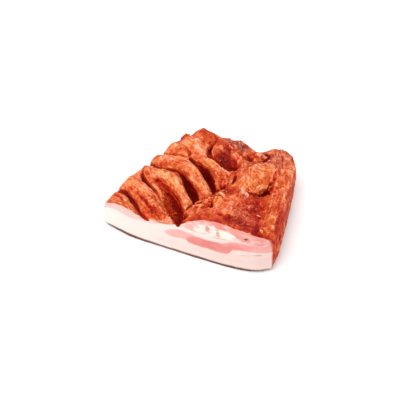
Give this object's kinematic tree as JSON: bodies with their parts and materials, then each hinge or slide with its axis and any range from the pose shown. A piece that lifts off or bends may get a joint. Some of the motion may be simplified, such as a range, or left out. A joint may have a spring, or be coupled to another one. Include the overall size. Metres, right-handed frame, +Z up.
{
  "type": "smoked bacon slab",
  "caption": "Slab of smoked pork belly with rind underneath, one clean cut face, and a crusted upper side with deep rib beds.",
  "frame": {"origin": "under the middle of the slab's bounding box, on the surface that its rind lies on", "axes": "+Z up out of the crusted upper side, +X along the cut face towards the thick lean end, -Y out of the cut face"},
  "size_m": [0.2572, 0.252, 0.0667],
  "materials": {
    "smoked_pork": "dry smoked crust with a slight gloss of fat, and a pale moist cut face"
  },
  "bodies": {
    "root": {"bacon_slab": "smoked_pork"}
  },
  "joints": []
}
